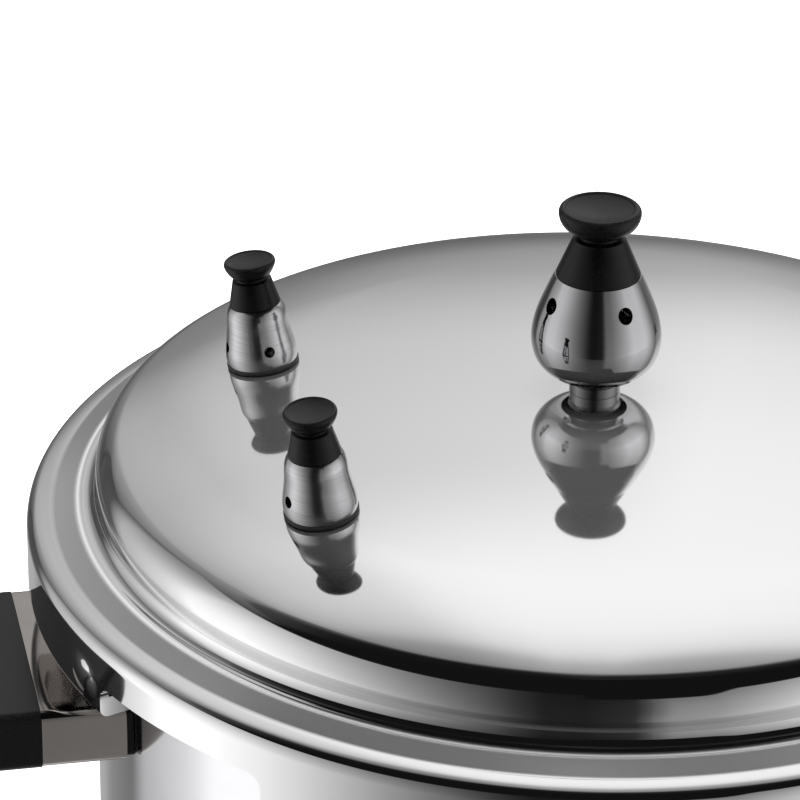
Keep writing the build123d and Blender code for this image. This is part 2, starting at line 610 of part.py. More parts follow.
lower_raw = long_grip(0.0, LZ, LONG_H, SEAM + 0.15, LONG_END, LONG_W, 42.0, 46.0, 4.4)
with BuildPart() as lower_handle:
    add(lower_raw.part)
    with BuildSketch(section_plane(SEAM - 1.9, 0.0, LZ)):
        RectangleRounded(LONG_W - 2.4, LONG_H - 2.4, 3.3)
    extrude(amount=2.5)
    with BuildSketch(section_plane(SEAM - 3.0, 0.0, LZ)):
        RectangleRounded(26.4, 6.4, 1.1)
    extrude(amount=276.6 - SEAM + 3.0, mode=Mode.SUBTRACT)
    for s in LOWER_SC:
        with BuildSketch(plan_plane(0.0, LZ - LONG_H / 2 - 1.0)):
            with Locations((s, 0)):
                Circle(2.15)
        extrude(amount=20.0, mode=Mode.SUBTRACT)
        with BuildSketch(plan_plane(0.0, LZ - LONG_H / 2 - 1.0)):
            with Locations((s, 0)):
                Circle(4.2)
        extrude(amount=5.6, mode=Mode.SUBTRACT)
    # hanging hole
    with BuildSketch(plan_plane(0.0, LZ - LONG_H / 2 - 1.0)):
        with Locations((LONG_END - 20.0, 0)):
            SlotOverall(18.0, 9.0)
    extrude(amount=LONG_H + 2.0, mode=Mode.SUBTRACT)
    # grooves for the fingers
    for s in (262.0 + 22.0, 262.0 + 44.0, 262.0 + 66.0):
        with BuildSketch(side_plane(0.0, -40.0)):
            with Locations((s, LZ - LONG_H / 2 - 19.0)):
                Circle(21.0)
        extrude(amount=-80.0, mode=Mode.SUBTRACT)
    # seat of the lock keeper
    with BuildSketch(plan_plane(0.0, POT_HANDLE_TOP - 1.5)):
        with Locations((191.5, 0)):
            Rectangle(19.4, 18.4)
    extrude(amount=3.0, mode=Mode.SUBTRACT)
    with BuildSketch(plan_plane(0.0, POT_HANDLE_TOP - 7.0)):
        with Locations((196.0, 0)):
            Circle(1.55)
    extrude(amount=7.0, mode=Mode.SUBTRACT)
lower_handle.part.label = "lower_handle"
export_step(lower_handle.part, "parts/lower_handle.step")

with BuildPart() as lower_screws:
    for s in LOWER_SC:
        one = screws(0.0, LZ - LONG_H / 2 + 1.4, s, (0.0,), 14.0)
        add(one.part)
lower_screws.part.label = "lower_screws"
export_step(lower_screws.part, "parts/lower_screws.step")

# keeper of the lid lock, on the lower handle
with BuildPart() as lock_keeper:
    with BuildSketch(plan_plane(0.0, POT_HANDLE_TOP - 1.5)):
        with Locations((191.5, 0)):
            Rectangle(19.0, 18.0)
    extrude(amount=1.5)
    for sgn in (-1, 1):
        with BuildSketch(plan_plane(0.0, POT_HANDLE_TOP - 1.5)):
            with Locations((185.0, sgn * 7.3)):
                Rectangle(6.0, 3.0)
        extrude(amount=8.5)
    fillet(lock_keeper.edges().filter_by(Axis.X).sort_by(Axis.Z)[-4:], 0.6)
    with BuildSketch(plan_plane(0.0, POT_HANDLE_TOP - 3.0)):
        with Locations((196.0, 0)):
            Circle(1.6)
    extrude(amount=5.0, mode=Mode.SUBTRACT)
lock_keeper.part.label = "lock_keeper"
export_step(lock_keeper.part, "parts/lock_keeper.step")

with BuildPart() as keeper_screw:
    with BuildSketch(plan_plane(0.0, POT_HANDLE_TOP)):
        with Locations((196.0, 0)):
            Circle(2.7)
    extrude(amount=1.3)
    with BuildSketch(plan_plane(0.0, POT_HANDLE_TOP - 6.5)):
        with Locations((196.0, 0)):
            Circle(1.5)
    extrude(amount=6.5)
    with BuildSketch(plan_plane(0.0, POT_HANDLE_TOP + 0.6)):
        with Locations((196.0, 0)):
            Rectangle(3.4, 0.7)
            Rectangle(0.7, 3.4)
    extrude(amount=1.0, mode=Mode.SUBTRACT)
keeper_screw.part.label = "keeper_screw"
export_step(keeper_screw.part, "parts/keeper_screw.step")

# --------------------------------------------------------------- lid handle
UZM = UP_TOP - UP_H / 2
TANG_Z = UZM + 4.9            # tang sits high, on the part of the skirt above the gaps
UPPER_SC = (245.0, 285.0)
with BuildPart() as upper_bracket:
    with BuildSketch(section_plane(SKIRT_R - 12.0, UP_ANG, TANG_Z)):
        RectangleRounded(40.0, 7.0, 1.5)
    extrude(amount=20.0)
    with Locations((0, 0, TANG_Z)):
        Cylinder(SKIRT_R, 80.0, mode=Mode.SUBTRACT)
    with BuildPart(mode=Mode.PRIVATE) as up_keep:
        with Locations((0, 0, TANG_Z)):
            Cylinder(SKIRT_R + 2.0, 70.0)
    add(up_keep.part, mode=Mode.INTERSECT)
    with BuildSketch(section_plane(SKIRT_R + 1.0, UP_ANG, TANG_Z)):
        RectangleRounded(26.0, 5.0, 1.0)
    extrude(amount=298.0 - SKIRT_R - 1.0)
    for s in UPPER_SC:
        with BuildSketch(plan_plane(UP_ANG, TANG_Z - 10.0)):
            with Locations((s, 0)):
                Circle(2.1)
        extrude(amount=20.0, mode=Mode.SUBTRACT)
    with BuildSketch(plan_plane(UP_ANG, TANG_Z - 10.0)):
        with Locations((218.0, 0)):
            Rectangle(24.0, 12.0)
    extrude(amount=20.0, mode=Mode.SUBTRACT)
upper_bracket.part.label = "upper_bracket"
export_step(upper_bracket.part, "parts/upper_bracket.step")

upper_ferrule = sleeve(UP_ANG, UZM, LONG_W, UP_H, 4.4, 170.0, UP_SEAM, UP_SLEEVE_IN)
upper_ferrule.part.label = "upper_ferrule"
export_step(upper_ferrule.part, "parts/upper_ferrule.step")

with BuildPart() as upper_spacer:
    with BuildSketch(section_plane(168.0, UP_ANG, UZM)):
        RectangleRounded(LONG_W - 2.4, UP_H - 2.4, 3.3)
    extrude(amount=UP_SEAM - 2.2 - 168.0)
    with Locations((0, 0, UZM)):
        Cylinder(SKIRT_R + 0.2, 80.0, mode=Mode.SUBTRACT)
    with BuildPart(mode=Mode.PRIVATE) as up_seat:
        with BuildSketch(section_plane(165.0, UP_ANG, TANG_Z)):
            RectangleRounded(40.6, 7.6, 1.7)
        extrude(amount=30.0)
        with BuildPart(mode=Mode.PRIVATE) as up_seat_limit:
            with Locations((0, 0, UZM)):
                Cylinder(SKIRT_R + 2.3, 70.0)
        add(up_seat_limit.part, mode=Mode.INTERSECT)
    add(up_seat.part, mode=Mode.SUBTRACT)
    with BuildSketch(section_plane(165.0, UP_ANG, TANG_Z)):
        RectangleRounded(26.4, 5.4, 1.1)
    extrude(amount=60.0, mode=Mode.SUBTRACT)
upper_spacer.part.label = "upper_spacer"
export_step(upper_spacer.part, "parts/upper_spacer.step")

UP_END = LONG_END - 4.0
upper_raw = long_grip(UP_ANG, UZM, UP_H, UP_SEAM + 0.15, UP_END, LONG_W, 42.0, 46.0, 4.4)
with BuildPart() as upper_handle:
    add(upper_raw.part)
    with BuildSketch(section_plane(UP_SEAM - 1.9, UP_ANG, UZM)):
        RectangleRounded(LONG_W - 2.4, UP_H - 2.4, 3.3)
    extrude(amount=2.5)
    with BuildSketch(section_plane(UP_SEAM - 3.0, UP_ANG, TANG_Z)):
        RectangleRounded(26.4, 5.4, 1.1)
    extrude(amount=298.6 - UP_SEAM + 3.0, mode=Mode.SUBTRACT)
    for s in UPPER_SC:
        with BuildSketch(plan_plane(UP_ANG, UZM - UP_H / 2 - 1.0)):
            with Locations((s, 0)):
                Circle(2.15)
        extrude(amount=18.6, mode=Mode.SUBTRACT)
        with BuildSketch(plan_plane(UP_ANG, UZM - UP_H / 2 - 1.0)):
            with Locations((s, 0)):
                Circle(4.2)
        extrude(amount=6.6, mode=Mode.SUBTRACT)
    # track of the lock button and slot of its stem
    with BuildSketch(plan_plane(UP_ANG, UP_TOP - 2.2)):
        with Locations((218.0, 0)):
            RectangleRounded(30.0, 16.0, 2.5)
    extrude(amount=5.0, mode=Mode.SUBTRACT)
    with BuildSketch(plan_plane(UP_ANG, UZM - UP_H / 2 - 1.0)):
        with Locations((218.0, 0)):
            Rectangle(16.0, 7.0)
    extrude(amount=UP_H + 2.0, mode=Mode.SUBTRACT)
upper_handle.part.label = "upper_handle"
export_step(upper_handle.part, "parts/upper_handle.step")

with BuildPart() as upper_screws:
    for s in UPPER_SC:
        one = screws(UP_ANG, UZM - UP_H / 2 + 2.6, s, (0.0,), 12.0)
        add(one.part)
upper_screws.part.label = "upper_screws"
export_step(upper_screws.part, "parts/upper_screws.step")

# lock: button on top, steel tongue below, joined by a screw
BTN_S = 221.5
with BuildPart() as lock_button:
    with BuildSketch(plan_plane(UP_ANG, UP_TOP - 1.9)):
        with Locations((BTN_S, 0)):
            RectangleRounded(18.0, 15.0, 2.2)
    extrude(amount=4.6)
    fillet(lock_button.faces().sort_by(Axis.Z)[-1].edges(), 1.2)
    for k in range(4):
        with BuildSketch(plan_plane(UP_ANG, UP_TOP + 1.9)):
            with Locations((BTN_S - 4.5 + 3.0 * k, 0)):
                Rectangle(1.2, 10.0)
        extrude(amount=2.0, mode=Mode.SUBTRACT)
    with BuildSketch(plan_plane(UP_ANG, UP_TOP - 12.0)):
        with Locations((BTN_S - 0.5, 0)):
            RectangleRounded(8.0, 6.2, 1.0)
            Circle(1.55, mode=Mode.SUBTRACT)
    extrude(amount=10.2)
lock_button.part.label = "lock_button"
export_step(lock_button.part, "parts/lock_button.step")

T_Z = UZM - UP_H / 2 - 4.2     # underside plane of the tongue
with BuildPart() as lock_tongue:
    with BuildSketch(plan_plane(UP_ANG, T_Z - 2.0)):
        with Locations(((190.6 + 226.0) / 2, 0)):
            RectangleRounded(226.0 - 190.6, 10.0, 1.5)
    extrude(amount=2.0)
    with BuildSketch(plan_plane(UP_ANG, T_Z)):
        with Locations((BTN_S - 0.5, 0)):
            RectangleRounded(8.0, 6.2, 1.0)
    extrude(amount=UP_TOP - 12.05 - T_Z)
    with BuildSketch(plan_plane(UP_ANG, T_Z - 2.0)):
        with Locations((BTN_S - 0.5, 0)):
            Circle(1.6)
    extrude(amount=30.0, mode=Mode.SUBTRACT)
lock_tongue.part.label = "lock_tongue"
export_step(lock_tongue.part, "parts/lock_tongue.step")

with BuildPart() as lock_screw:
    with BuildSketch(plan_plane(UP_ANG, T_Z - 3.4)):
        with Locations((BTN_S - 0.5, 0)):
            Circle(2.8)
    extrude(amount=1.4)
    with BuildSketch(plan_plane(UP_ANG, T_Z - 2.0)):
        with Locations((BTN_S - 0.5, 0)):
            Circle(1.5)
    extrude(amount=UP_TOP - 4.0 - T_Z + 2.0)
    with BuildSketch(plan_plane(UP_ANG, T_Z - 3.4)):
        with Locations((BTN_S - 0.5, 0)):
            Rectangle(3.4, 0.7)
            Rectangle(0.7, 3.4)
    extrude(amount=0.8, mode=Mode.SUBTRACT)
lock_screw.part.label = "lock_screw"
export_step(lock_screw.part, "parts/lock_screw.step")

print("apex", round(APEX, 3), "shoulder", round(SH_RT, 3), round(math.degrees(B_OUT), 2), "edge", round(EDGE_Z, 3))
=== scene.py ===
import bpy
import bmesh
import json
import math
from mathutils import Matrix, Vector


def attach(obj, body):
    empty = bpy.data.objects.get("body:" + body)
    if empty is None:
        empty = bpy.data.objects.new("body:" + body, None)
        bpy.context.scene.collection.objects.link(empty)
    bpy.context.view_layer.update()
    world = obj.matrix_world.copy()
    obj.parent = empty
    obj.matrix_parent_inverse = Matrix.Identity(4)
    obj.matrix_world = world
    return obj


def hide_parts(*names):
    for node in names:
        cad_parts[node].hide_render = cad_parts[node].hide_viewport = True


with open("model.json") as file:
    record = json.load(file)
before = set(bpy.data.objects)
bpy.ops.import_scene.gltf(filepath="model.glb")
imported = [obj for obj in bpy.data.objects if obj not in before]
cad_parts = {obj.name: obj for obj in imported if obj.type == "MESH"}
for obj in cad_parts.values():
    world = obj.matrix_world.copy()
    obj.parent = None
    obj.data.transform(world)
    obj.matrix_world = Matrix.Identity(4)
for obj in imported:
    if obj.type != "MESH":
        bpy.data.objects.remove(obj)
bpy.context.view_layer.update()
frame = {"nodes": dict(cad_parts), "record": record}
nodes = frame["nodes"]
scene = bpy.context.scene
rad, cos, sin = math.radians, math.cos, math.sin
MM = 0.001

# ---------------------------------------------------------------------------
# mesh helpers (millimetres in, metres out)
# ---------------------------------------------------------------------------


def arc(cx, cz, r, a0, a1, n):
    """n points along an arc, end point left out."""
    return [(cx + r * cos(a0 + (a1 - a0) * i / n), cz + r * sin(a0 + (a1 - a0) * i / n)) for i in range(n)]


def run(p, q, n):
    """n points along a straight line, end point left out."""
    return [(p[0] + (q[0] - p[0]) * i / n, p[1] + (q[1] - p[1]) * i / n) for i in range(n)]


def mesh_object(name, verts, faces, sharp_deg=38.0):
    me = bpy.data.meshes.new(name)
    me.from_pydata([(x * MM, y * MM, z * MM) for x, y, z in verts], [], faces)
    me.validate()
    bm = bmesh.new()
    bm.from_mesh(me)
    bmesh.ops.remove_doubles(bm, verts=bm.verts, dist=1e-7)
    bmesh.ops.recalc_face_normals(bm, faces=bm.faces)
    lim = rad(sharp_deg)
    for f in bm.faces:
        f.smooth = True
    for e in bm.edges:
        e.smooth = not (len(e.link_faces) == 2 and e.calc_face_angle(0.0) > lim)
    bm.to_mesh(me)
    bm.free()
    ob = bpy.data.objects.new(name, me)
    scene.collection.objects.link(ob)
    return ob


class Grid:
    """Vertices by key, so that neighbouring patches share them."""

    def __init__(self):
        self.v, self.f, self.k = [], [], {}

    def vert(self, x, y, z):
        key = (round(x, 4), round(y, 4), round(z, 4))
        if key not in self.k:
            self.k[key] = len(self.v)
            self.v.append((x, y, z))
        return self.k[key]

    def face(self, ids):
        out = []
        for i in ids:
            if not out or out[-1] != i:
                out.append(i)
        if out[0] == out[-1]:
            out.pop()
        if len(out) > 2:
            self.f.append(out)

    def strip(self, left, right):
        """Quads between two columns with the same number of points."""
        for i in range(len(left) - 1):
            self.face([left[i], left[i + 1], right[i + 1], right[i]])


def ring_point(r, z, a):
    return (r * cos(a), r * sin(a), z)


# ---------------------------------------------------------------------------
# lid
# ---------------------------------------------------------------------------
FOOT = 240.0
T = 3.0
# raised top: wide crown, a tighter blend outside BLEND_IN, then the shoulder
RS, APEX, SHC, SHZ = 839.0, FOOT + 34.5, 144.0, FOOT + 8.07
SPZ = APEX - RS
BLEND_IN, BLEND_R = 108.0, 229.0
B_IN = math.asin(BLEND_IN / RS)
BLC = (BLEND_IN - BLEND_R * sin(B_IN), SPZ + (RS - BLEND_R) * cos(B_IN))
B_OUT = math.atan2(SHC - BLC[0], SHZ - BLC[1])
SHR = BLEND_R - math.hypot(SHC - BLC[0], SHZ - BLC[1])
WALL = SHC + SHR
FTR = 4.0
FRC = WALL + FTR
SKR = 177.0
# flange: sloping land, crease, crowned ring, rolled edge (slopes in degrees)
RING_S0, RING_S1, RING_R = 7.0, 18.0, 26.4
ROLL_R = 4.3
LAND_R0, LAND_SLOPE = 161.4, 19.0
LAND_R1 = 177.0 - ROLL_R * (1 - sin(rad(RING_S1))) - RING_R * (sin(rad(RING_S1)) - sin(rad(RING_S0)))
LAND_Z0 = FOOT - 0.35
LAND_Z1 = LAND_Z0 - (LAND_R1 - LAND_R0) * math.tan(rad(LAND_SLOPE))
RING_C = (LAND_R1 - RING_R * sin(rad(RING_S0)), LAND_Z1 - RING_R * cos(rad(RING_S0)))
RING_END = (RING_C[0] + RING_R * sin(rad(RING_S1)), RING_C[1] + RING_R * cos(rad(RING_S1)))
ROLL_C = (RING_END[0] - ROLL_R * sin(rad(RING_S1)), RING_END[1] - ROLL_R * cos(rad(RING_S1)))
EDZ = ROLL_C[1]
SKR = ROLL_C[0] + ROLL_R
GAPZ, LUGZ, LUGIN = FOOT - 17.5, FOOT - 29.0, 163.2
GAP_HALF = 11.5
GAPS = [33.0 + 60.0 * k for k in range(6)]
BUMPS = [78.0, 198.0, 318.0]
BORE = 5.1


def skin(t, nd, ns, nw, nf, nl, ne):
    """One skin of the lid, t below the outer one, from the bore out to the skirt."""
    r = RS - t
    q = math.pi / 2
    a0 = math.acos(BORE / r)
    pts = arc(0.0, SPZ, r, a0, q - B_IN, nd)
    pts += arc(BLC[0], BLC[1], BLEND_R - t, q - B_IN, q - B_OUT, max(10, nd // 2))
    pts += arc(SHC, SHZ, SHR - t, q - B_OUT, 0.0, ns)
    pts += run((WALL - t, SHZ), (WALL - t, FOOT + FTR), nw)
    pts += arc(FRC, FOOT + FTR, FTR + t, math.pi, 1.5 * math.pi, nf)
    # short cove from the foot down to the land
    m = max(4, nf // 2)
    for i in range(m):
        u = i / m
        w = u * u * (3 - 2 * u)
        pts.append((FRC + (LAND_R0 - FRC) * u, FOOT - t - (FOOT - LAND_Z0) * w))
    pts += run((LAND_R0, LAND_Z0 - t), (LAND_R1 - 0.25, LAND_Z1 + 0.25 * math.tan(rad(LAND_SLOPE)) - t), nl // 2)
    pts += arc(RING_C[0], RING_C[1], RING_R - t, q - rad(RING_S0), q - rad(RING_S1), nl)
    pts += arc(ROLL_C[0], ROLL_C[1], max(ROLL_R - t, 0.8), q - rad(RING_S1), 0.0, ne)
    return pts


def lid_columns():
    cols = {round(i * 0.75, 3) for i in range(480)}
    half_mm = SKR * sin(rad(GAP_HALF))
    for g in GAPS:
        for sgn in (-1, 1):
            for i in range(13):
                s = half_mm - 5.0 * (1 - cos(math.pi / 2 * i / 12))
                cols.add(round(g + sgn * math.degrees(math.asin(s / SKR)), 3) % 360)
    for b in BUMPS:
        for i in range(-24, 25):
            cols.add(round(b + i * 0.16, 3))
    out = sorted(cols)
    keep = [out[0]]
    fixed = {round(g + s * GAP_HALF, 3) % 360 for g in GAPS for s in (-1, 1)}
    for c in out[1:]:
        if c - keep[-1] < 0.02:
            if c in fixed:
                keep[-1] = c
            continue
        keep.append(c)
    return keep


def off(a, b):
    d = (a - b + 180.0) % 360.0 - 180.0
    return d


def gap_edge(deg):
    """Height of the skirt's lower edge above the lugs' root, and whether a lug hangs below it."""
    root = GAPZ - 5.0
    half_mm = SKR * sin(rad(GAP_HALF))
    for g in GAPS:
        d = abs(off(deg, g))
        if d < GAP_HALF - 1e-6:
            s = SKR * sin(rad(d))
            if s <= half_mm - 5.0:
                return GAPZ, False
            return root + math.sqrt(max(0.0, 25.0 - (s - half_mm + 5.0) ** 2)), False
        if d <= GAP_HALF + 1e-6:
            return root, None
    return root, True


def stop_bump(deg, z):
    h = 0.0
    for b in BUMPS:
        u = rad(off(deg, b)) * SKR / 9.6
        v = (z - (FOOT - 19.0)) / 7.0
        q = u * u + v * v
        if q < 1.0:
            h = max(h, 1.15 * (1 - q) ** 1.7)
    return h


def build_lid():
    g = Grid()
    outer = skin(0.0, 64, 40, 3, 14, 22, 22)
    inner = skin(T, 30, 14, 2, 10, 10, 8)
    lug = [(SKR, z) for z in (FOOT - 22.5, FOOT - 23.4, FOOT - 24.2, FOOT - 25.1, FOOT - 26.0)]
    lug += arc(SKR - 3, LUGZ + 3, 3.0, 0.0, -math.pi / 2, 8)[1:]
    lug += [(SKR - 3, LUGZ), (169.0, LUGZ), (LUGIN + 0.8, LUGZ), (LUGIN, LUGZ + 0.8), (LUGIN, FOOT - 25.0),
            (LUGIN, FOOT - 22.5), (169.0, FOOT - 22.5), (SKR - T, FOOT - 22.5)]
    nrow = 16
    cols = lid_columns()
    built = []
    for deg in cols:
        a = rad(deg)
        zlow, kind = gap_edge(deg)
        up = [g.vert(*ring_point(r, z, a)) for r, z in outer]
        for i in range(nrow + 1):
            z = EDZ + (zlow - EDZ) * i / nrow
            up.append(g.vert(*ring_point(SKR + stop_bump(deg, z), z, a)))
        inn = [g.vert(*ring_point(r, z, a)) for r, z in inner]
        for i in range(5):
            z = EDZ - 0.6 + (zlow - EDZ + 0.6) * i / 4
            inn.append(g.vert(*ring_point(SKR - T, z, a)))
        low = None
        if kind is not False:
            low = [g.vert(*ring_point(r + (stop_bump(deg, z) if r >= SKR - 1e-6 else 0.0), z, a)) for r, z in lug]
        built.append((deg, up, inn, low, kind))
    n = len(built)
    for i in range(n):
        d0, up0, in0, low0, k0 = built[i]
        d1, up1, in1, low1, k1 = built[(i + 1) % n]
        g.strip(up0, up1)
        g.strip(in1, in0)
        g.strip([in0[0], up0[0]], [in1[0], up1[0]])
        if low0 and low1 and not (k0 is None and k1 is None and False):
            mid = (d0 + off(d1, d0) / 2) % 360
            if gap_edge(mid)[1] is True:
                g.strip(low0, low1)
                continue
        g.strip([up0[-1], in0[-1]], [up1[-1], in1[-1]])
    for deg, up, inn, low, kind in built:
        if kind is None:
            g.face(low)
    return mesh_object("lid_shell", g.v, g.f, 40.0)


lid_shell = build_lid()
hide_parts("lid")

# ---------------------------------------------------------------------------
# pot
# ---------------------------------------------------------------------------


def build_pot():
    g = Grid()
    pr = [(0.0, 0.0)] + run((20.0, 0.0), (144.0, 0.0), 8) + arc(144.0, 12.0, 12.0, -math.pi / 2, 0.0, 16)
    pr += run((156.0, 12.0), (156.0, 218.0), 40) + [(156.0, 218.0), (156.15, 218.55), (156.8, 218.8), (162.0, 218.8)]
    top = [(162.0, 223.8), (162.0, 224.0)] + arc(161.0, 224.0, 1.0, 0.0, math.pi / 2, 5)[1:] + [(161.0, 225.0)]
    top += [(154.5, 225.0)] + arc(154.5, 224.0, 1.0, math.pi / 2, math.pi, 5)[1:] + [(153.5, 224.0)]
    top += run((153.5, 214.0), (153.5, 14.0), 12) + arc(143.5, 14.0, 10.0, 0.0, -math.pi / 2, 12)
    top += [(143.5, 4.0), (100.0, 4.0), (50.0, 4.0), (0.0, 4.0)]
    lug = [(162.0, 218.8), (169.9, 218.8), (170.5, 219.4), (170.5, 223.2), (169.9, 223.8), (162.0, 223.8)]
    cols = sorted({round(i * 1.0, 3) for i in range(360)} | {round(33.0 + 60.0 * k + s * 9.0, 3) % 360 for k in range(6) for s in (-1, 1)})
    fixed = {round(33.0 + 60.0 * k + s * 9.0, 3) % 360 for k in range(6) for s in (-1, 1)}
    built = []
    for deg in cols:
        a = rad(deg)
        built.append((deg, [g.vert(*ring_point(r, z, a)) for r, z in pr], [g.vert(*ring_point(r, z, a)) for r, z in top],
                      [g.vert(*ring_point(r, z, a)) for r, z in lug]))
    n = len(built)
    for i in range(n):
        d0, p0, t0, l0 = built[i]
        d1, p1, t1, l1 = built[(i + 1) % n]
        g.strip(p0, p1)
        g.strip(t0, t1)
        mid = (d0 + off(d1, d0) / 2) % 360
        if any(abs(off(mid, 33.0 + 60.0 * k)) < 9.0 for k in range(6)):
            g.strip(l0, l1)
        else:
            g.strip([p0[-1], t0[0]], [p1[-1], t1[0]])
    for deg, p, t, l in built:
        if deg in fixed:
            g.face(l)
    used = sorted({i for f in g.f for i in f})
    remap = {o: i for i, o in enumerate(used)}
    return mesh_object("pot_shell", [g.v[i] for i in used], [[remap[i] for i in f] for f in g.f], 40.0)


pot_shell = build_pot()
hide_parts("pot_body", "pot_rim")

# ---------------------------------------------------------------------------
# sleeve between the pot and the helper grip: thin sheet, faces slightly crowned
# ---------------------------------------------------------------------------


def build_sleeve(name, ang, zc, w, h, r, s_in_r, s_out, crown):
    """Rectangular sleeve along the handle, its inner end cut to the pot's curve."""
    g = Grid()

    def outline(inset):
        pts = []
        hw, hh, rr = w / 2 - inset, h / 2 - inset, r - inset
        corners = [(hw - rr, hh - rr, 0.0), (-hw + rr, hh - rr, 90.0), (-hw + rr, -hh + rr, 180.0), (hw - rr, -hh + rr, 270.0)]
        for k, (cx, cz, a0) in enumerate(corners):
            nx, nz, na = corners[(k + 1) % 4]
            for i in range(9):
                a = rad(a0 + 90.0 * i / 8)
                pts.append((cx + rr * cos(a), cz + rr * sin(a)))
            ax, az = pts[-1]
            bx, bz = nx + rr * cos(rad(na)), nz + rr * sin(rad(na))
            m = 14 if k % 2 == 0 else 6
            for i in range(1, m):
                pts.append((ax + (bx - ax) * i / m, az + (bz - az) * i / m))
        out = []
        for x, z in pts:
            # crown: faces swell a little towards their middle
            cx = crown * (1 - (x / hw) ** 2) * (z / hh)
            cz = crown * (1 - (z / hh) ** 2) * (x / hw)
            out.append((x + cz, z + cx))
        return out

    c, s = cos(rad(ang)), sin(rad(ang))
    o, i_ = outline(crown), outline(crown + 1.0)
    rings = []
    for pts, order in ((o, 1), (i_, -1)):
        stations = []
        for k in range(7):
            ring = []
            for y, z in pts:
                s0 = math.sqrt(s_in_r ** 2 - y * y)
                d = s0 + (s_out - s0) * k / 6
                ring.append(g.vert(d * c - y * s, d * s + y * c, zc + z))
            stations.append(ring)
        rings.append(stations if order == 1 else stations[::-1])
    seq = rings[0] + rings[1]
    n = len(o)
    for a, b in zip(seq, seq[1:] + seq[:1]):
        for i in range(n):
            j = (i + 1) % n
            g.face([a[i], a[j], b[j], b[i]])
    return mesh_object(name, g.v, g.f, 35.0)


helper_sleeve = build_sleeve("helper_sleeve", 180.0, 189.0, 80.0, 20.0, 3.4, 158.6, 179.5, 0.35)
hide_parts("helper_ferrule")

# ---------------------------------------------------------------------------
# materials
# ---------------------------------------------------------------------------


def new_material(name):
    m = bpy.data.materials.new(name)
    m.use_nodes = True
    nt = m.node_tree
    bsdf = next(n for n in nt.nodes if n.type == "BSDF_PRINCIPLED")
    return m, nt, bsdf


def noise(nt, scale, detail, stretch=(1, 1, 1), rough=0.5):
    tc = nt.nodes.new("ShaderNodeTexCoord")
    mp = nt.nodes.new("ShaderNodeMapping")
    mp.inputs["Scale"].default_value = stretch
    nz = nt.nodes.new("ShaderNodeTexNoise")
    nz.inputs["Scale"].default_value = scale
    nz.inputs["Detail"].default_value = detail
    nz.inputs["Roughness"].default_value = rough
    nt.links.new(tc.outputs["Object"], mp.inputs["Vector"])
    nt.links.new(mp.outputs["Vector"], nz.inputs["Vector"])
    return nz


def remap(nt, src, lo, hi):
    mr = nt.nodes.new("ShaderNodeMapRange")
    mr.inputs["From Min"].default_value = 0.3
    mr.inputs["From Max"].default_value = 0.7
    mr.inputs["To Min"].default_value = lo
    mr.inputs["To Max"].default_value = hi
    nt.links.new(src, mr.inputs["Value"])
    return mr.outputs["Result"]


def tint(nt, src, c0, c1):
    cr = nt.nodes.new("ShaderNodeValToRGB")
    cr.color_ramp.elements[0].position = 0.3
    cr.color_ramp.elements[0].color = (*c0, 1)
    cr.color_ramp.elements[1].position = 0.7
    cr.color_ramp.elements[1].color = (*c1, 1)
    nt.links.new(src, cr.inputs["Fac"])
    return cr.outputs["Color"]


def bump(nt, bsdf, src, strength, dist):
    b = nt.nodes.new("ShaderNodeBump")
    b.inputs["Strength"].default_value = strength
    b.inputs["Distance"].default_value = dist
    nt.links.new(src, b.inputs["Height"])
    nt.links.new(b.outputs["Normal"], bsdf.inputs["Normal"])


def metal(name, c0, c1, r0, r1, scale=60.0, stretch=(1, 1, 1), bump_s=0.0, bump_d=0.0001, detail=4.0):
    m, nt, bsdf = new_material(name)
    bsdf.inputs["Metallic"].default_value = 1.0
    nz = noise(nt, scale, detail, stretch)
    nt.links.new(tint(nt, nz.outputs["Fac"], c0, c1), bsdf.inputs["Base Color"])
    nt.links.new(remap(nt, nz.outputs["Fac"], r0, r1), bsdf.inputs["Roughness"])
    if bump_s:
        bump(nt, bsdf, nz.outputs["Fac"], bump_s, bump_d)
    return m


def plastic(name, c0, c1, r0, r1, scale, bump_s):
    m, nt, bsdf = new_material(name)
    bsdf.inputs["Specular IOR Level"].default_value = 0.5
    nz = noise(nt, scale, 3.0)
    nt.links.new(tint(nt, nz.outputs["Fac"], c0, c1), bsdf.inputs["Base Color"])
    nt.links.new(remap(nt, nz.outputs["Fac"], r0, r1), bsdf.inputs["Roughness"])
    bump(nt, bsdf, nz.outputs["Fac"], bump_s, 0.0001)
    return m


